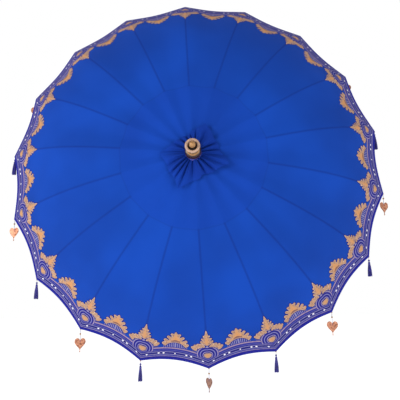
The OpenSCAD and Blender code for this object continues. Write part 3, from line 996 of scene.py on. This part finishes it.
@dataclass
class Pendants:
    """Nine tassels and nine copper leaves, hung in turn from the rib tips."""

    start: float = 3.9
    thread: float = 0.8
    tassel_len: float = 91.0
    tassel_r: float = 11.0
    strands: int = 44
    neck: float = 33.0  # where the strands leave their binding
    golden_turn: float = 2.39996  # radians from one strand to the next
    heart_len: float = 103.0
    heart_w: float = 50.0
    stretch: float = 1.9  # the leaf's height for each unit of its outline
    stem: float = 8.0
    drop_r: float = 2.6  # the drop at the stem's end
    turns: tuple = (0, 20, -25, 10, 55, -10, 15, 0, -20)

    def hang(self, shell: Shell, eye: Vector, turn: float = 0.0) -> Shell:
        """Hangs a shell, whose z runs down from 0 at the eye, after a turn about its thread.

        The turned point (x, y, z) goes to eye + (x, -y, -z), which is half a turn about x.

        Args:
            shell: The shell in millimetres.
            eye: The eye in the frame's metres.
            turn: Degrees about the thread.
        """
        c, s = math.cos(math.radians(turn)), math.sin(math.radians(turn))
        x, y, z = shell.points.T
        shell.points = np.stack([c * x - s * y, -(s * x + c * y), -z], axis=1) * MM + np.array(eye)
        return shell

    def tassel(self, number: int) -> Shell:
        """Works out a tassel: a knot, a bound neck, and strands that spread evenly over a disc.

        Strand i leaves the neck at golden-angle turns and reaches the skirt's radius at its end, with a
        small wave of its own.

        Args:
            number: Which tassel, which seeds its strands.
        """
        draw = np.random.default_rng(100 + number)
        knot = np.radians(np.arange(-80, 81, 16))
        top = turned(np.concatenate([
            [[self.thread, self.start], [self.thread, 11.6]],
            np.stack([4.6 * np.cos(knot), 16.4 + 4.4 * np.sin(knot)], axis=1),
            [[2.8, 21.5], [4.2, 25], [5.0, 26.5], [5.4, 28], [5.0, 29.2], [5.5, 30.4], [5.1, 31.6],
             [5.6, 32.8], [5.2, 34], [4.6, 36]]]), 24)
        index = np.arange(self.strands)
        turn = index * self.golden_turn + draw.uniform(-0.1, 0.1, self.strands)
        spread = np.sqrt((index + 0.5) / self.strands)
        share = np.linspace(0, 1, 9)
        length = self.tassel_len - self.neck - draw.uniform(0, 4, self.strands)
        flare = 0.42 + 0.58 * np.sin(share * np.pi / 2) ** 0.8
        radius = spread[:, None] * (self.tassel_r - 1.4) * flare
        wave = 0.5 * np.sin(share * 6 + turn[:, None] * 3)
        angle = turn[:, None] + 0.12 * share + 0.04 * wave
        paths = np.stack([radius * np.cos(angle), radius * np.sin(angle),
                          self.neck + length[:, None] * share], axis=-1)
        thick = np.full((self.strands, 9), 1.15) * (1 - 0.25 * share)
        return joined([top, carried(paths, thick, 5)])

    def leaf(self) -> Shell:
        """Works out the heart-shaped leaf with its stem.

        The outline is x = 16 sin cubed, height = a sum of four cosines. A point at share t of the way
        out is domed by 1 - t squared, raised along a midrib and side veins, and waved near its edge.
        """
        scale = self.heart_w / 32
        centre = self.heart_len - self.stem - 17 * self.stretch
        a, share = np.linspace(0, 2 * np.pi, 96, endpoint=False), np.linspace(0.04, 1, 20)[:, None]
        wide = 16 * np.sin(a) ** 3
        down = np.cos(4 * a) + 2 * np.cos(3 * a) + 5 * np.cos(2 * a) - 13 * np.cos(a)
        u, v = share * scale * wide, centre + share * self.stretch * down
        vein = np.exp(-((u / 1.1) ** 2))
        slant = (v - centre + 1.05 * np.abs(u)) / 8.5
        sides = np.exp(-(((np.abs(slant - np.round(slant)) * 8.5) / 0.9) ** 2)) * smooth(np.abs(u), 1, 4)
        relief = 0.55 * vein + 0.35 * sides * smooth(1 - share, 0.05, 0.2)
        wave = 0.5 * np.sin(9 * a) * share**4
        front = 0.45 + 1.5 * (1 - share**2) + relief + wave
        back = -0.45 + 1.0 * (1 - share**2) + wave
        face = [np.stack([u, -front, v], axis=-1), np.stack([u, -back, v], axis=-1)]
        rings, count = share.size, share.size * a.size
        middle = np.array([[0, -front[0].mean(), v[0].mean()], [0, -back[0].mean(), v[0].mean()]])
        points = np.concatenate([face[0].reshape(-1, 3), face[1].reshape(-1, 3), middle])
        grid = grid_faces(rings, a.size, True)
        this, after = np.arange(a.size), (np.arange(a.size) + 1) % a.size
        last = count - a.size
        rim = np.stack([last + this, last + after, last + after + count, last + this + count], axis=1)
        fan = np.stack([after, this, np.full(a.size, 2 * count)], axis=1)
        back_fan = np.stack([this + count, after + count, np.full(a.size, 2 * count + 1)], axis=1)
        plate = Shell(points, [grid[:, ::-1], grid + count, rim[:, ::-1], fan[:, ::-1], back_fan[:, ::-1]])
        stem = np.linspace(0, 1, 12)
        stalk = turned(np.stack([1.7 - 0.5 * stem, self.heart_len - self.stem - 5 + (self.stem + 5) * stem],
                                axis=1), 14)
        ball = np.radians(np.arange(-81, 82, 18))
        drop = turned(np.stack([self.drop_r * np.cos(ball),
                                self.heart_len - self.drop_r * (1 - np.sin(ball))], axis=1), 16)
        return joined([plate, stalk, drop])

    def build(self, thread: bpy.types.Material, copper: bpy.types.Material,
              tarnished: bpy.types.Material, bead: bpy.types.Material) -> None:
        """Builds every pendant on its own eye, with the lowest leaf in tarnished copper."""
        for number in range(RIBS):
            tassel = number % 2 == 0
            name = ("tassel_" if tassel else "heart_pendant_") + f"{number // 2 + 1:02d}"
            eye = Vector(JOINTS[name + "_swing"]["pos_m"])
            if tassel:
                shell = self.hang(self.tassel(number), eye)
                piece = make_piece("silk_" + name, shell, [thread, thread])
            else:
                ball = np.radians(np.arange(-81, 82, 9))
                lobes = self.heart_len - self.stem - 22 * self.stretch
                string = turned(np.array([[self.thread, self.start], [self.thread, lobes + 4]]), 10)
                round_bead = turned(np.stack([4 * np.cos(ball), 22 + 4 * np.sin(ball)], axis=1), 24)
                leaf = self.leaf()
                shell = joined([leaf, string, round_bead])
                shell = self.hang(shell, eye, self.turns[number // 2])
                leaf_finish = tarnished if number == RIBS // 2 else copper
                piece = make_piece("leaf_" + name, shell, [leaf_finish, thread, bead], 50.0)
            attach(piece, name)
            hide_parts(name)
        log.info("pendants: %d", RIBS)


@dataclass
class Frame:
    """The wooden frame: CAD nodes that keep their shape and take a better finish."""

    def dress(self, finishes: dict[str, bpy.types.Material]) -> None:
        """Gives each kept node the finish whose key starts its name."""
        for name, node in frame["nodes"].items():
            for start, material in finishes.items():
                if name.startswith(start):
                    for slot in node.material_slots:
                        slot.material = material
                    if not node.material_slots:
                        node.data.materials.append(material)
                    log.info("dressed %s", name)


@dataclass
class Studio:
    """A white sweep of paper, broad soft lights and the camera."""

    floor: float = -1.03
    turn: float = -1.18  # degrees right of the pole's axis
    rise: float = -11.12  # degrees above the level of the pole; the camera looks up
    roll: float = -0.59
    away: float = 2.424
    pan: tuple = (0.019, -0.122)  # the aim's offset from the pole at the rim, across and up
    lens: float = 45.0
    rim: float = 1.9
    sky: float = 0.55  # the white sky's light on the object, where the camera sees it at 1

    def camera(self) -> None:
        """Places the camera on a line through the aim, at its turn, rise and roll."""
        turn, rise, roll = (math.radians(v) for v in (self.turn, self.rise, self.roll))
        ahead = Vector((math.cos(rise) * math.sin(turn), math.cos(rise) * math.cos(turn), -math.sin(rise)))
        right = ahead.cross(Vector((0, 0, 1))).normalized()
        up = right.cross(ahead)
        across = math.cos(roll) * right + math.sin(roll) * up
        above = -math.sin(roll) * right + math.cos(roll) * up
        place = Vector((0, -self.rim, 0)) + self.pan[0] * across + self.pan[1] * above - self.away * ahead
        data = bpy.data.cameras.new("camera")
        data.lens = self.lens
        data.clip_end = 60
        camera = bpy.data.objects.new("camera", data)
        axes = Matrix((across, above, -ahead)).transposed()
        camera.matrix_world = Matrix.Translation(place) @ axes.to_4x4()
        bpy.context.scene.collection.objects.link(camera)
        bpy.context.scene.camera = camera
        log.info("camera at %s", tuple(round(v, 3) for v in place))

    def lamp(self, name: str, place: tuple, size: float, power: float, aim: tuple = (0, -1.9, 0)) -> None:
        """Adds a square soft light.

        Args:
            name: Its name.
            place: Where it hangs.
            size: Its width in metres.
            power: Its power in watts.
            aim: What it points at.
        """
        data = bpy.data.lights.new(name, "AREA")
        data.size, data.energy = size, power
        lamp = bpy.data.objects.new(name, data)
        lamp.location = place
        lamp.rotation_euler = (Vector(place) - Vector(aim)).to_track_quat("Z", "Y").to_euler()
        bpy.context.scene.collection.objects.link(lamp)

    def build(self, paper: bpy.types.Material) -> None:
        """Builds the floor, the sky and the lights."""
        world = bpy.data.worlds.new("studio")
        world.use_nodes = True
        nodes, links = world.node_tree.nodes, world.node_tree.links
        path, share = nodes.new("ShaderNodeLightPath"), nodes.new("ShaderNodeMapRange")
        share.inputs["To Min"].default_value = self.sky
        share.inputs["To Max"].default_value = 1.0
        links.new(path.outputs["Is Camera Ray"], share.inputs["Value"])
        links.new(share.outputs[0], nodes["Background"].inputs["Strength"])
        nodes["Background"].inputs["Color"].default_value = (1, 1, 1, 1)
        bpy.context.scene.world = world
        bpy.context.scene.view_settings.view_transform = "Standard"
        side = np.array([[x, y, self.floor] for y in (-8.0, 8.0) for x in (-9.0, 9.0)])
        low = side - [0, 0, 0.02]
        shell = walled(side.reshape(2, 2, 3), low.reshape(2, 2, 3))
        floor = make_piece("paper_floor", shell, [paper])
        self.lamp("key", (-3.0, -4.9, 0.1), 1.3, 74)
        self.lamp("fill", (2.9, -5.2, -0.6), 2.4, 64)
        log.info("studio")


def main() -> None:
    """Builds the camera and stage first, then cloth, finial, pendants and frame."""
    logging.basicConfig(level=logging.INFO, format="%(name)s: %(message)s", force=True)
    studio = Studio()
    studio.camera()
    studio.build(MattPaper().build())

    dome = Dome()
    # The plain cotton is a darker blue than the printed one: painted shade for the cover cloth's pleats,
    # shared by the crown patch beneath it.
    printed, plain_shaded = DyedCotton(Side.PRINTED).build(), DyedCotton(Side.PLAIN, "0A3BA0", "062C86").build()
    canopy = Canopy(dome)
    canopy.build(printed)
    canopy.crown(plain_shaded)
    CoverCloth(dome).build(plain_shaded)

    gold = PaintedWood("gold_enamel", "AA7E4C", "6E4C2A", 0.36, 0.2)
    cream = PaintedWood("cream_enamel", "B6957E", "7C5C46")
    brown = PaintedWood("brown_lacquer", "2E1A14", "5A3A26", 0.3)
    collar = PaintedWood("bronze_enamel", "7C6238", "3A2818", 0.4, 0.2)
    # The hollow's near-black paint is painted shade in the cup under the rim.
    dark = PaintedWood("hollow_painted_shade", "1C0E08", "3A2012", 0.5)
    tie = PaintedWood("mauve_cord", "44449E", "2C2C80", 0.6)
    paints = [material.build() for material in (tie, brown, gold, collar, cream, dark)]
    Finial(-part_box("finial")[1][1] / MM).build(paints)

    tarnished = StampedCopper("tarnished_copper", "A87E6C", "72503F").build()
    Pendants().build(SilkThread().build(), StampedCopper().build(), tarnished, paints[2])

    oiled = StickWood("oiled_turned_wood", "A9794A", "7A4E2A", 0.5)
    Frame().dress({
        "pole": StickWood("varnished_pole", "6E4224", "3E2212", 0.32, coat=0.35).build(),
        "crown_hub": oiled.build(), "runner_hub": oiled.build(),
        "spring_catch": BrushedSteel().build(),
        "rib_": RadialWood("split_ribs", "C79E68", "94683A").build(),
        "strut_": RadialWood("planed_struts", "BE9460", "8A6034").build()})


if __name__ == "__main__":
    main()
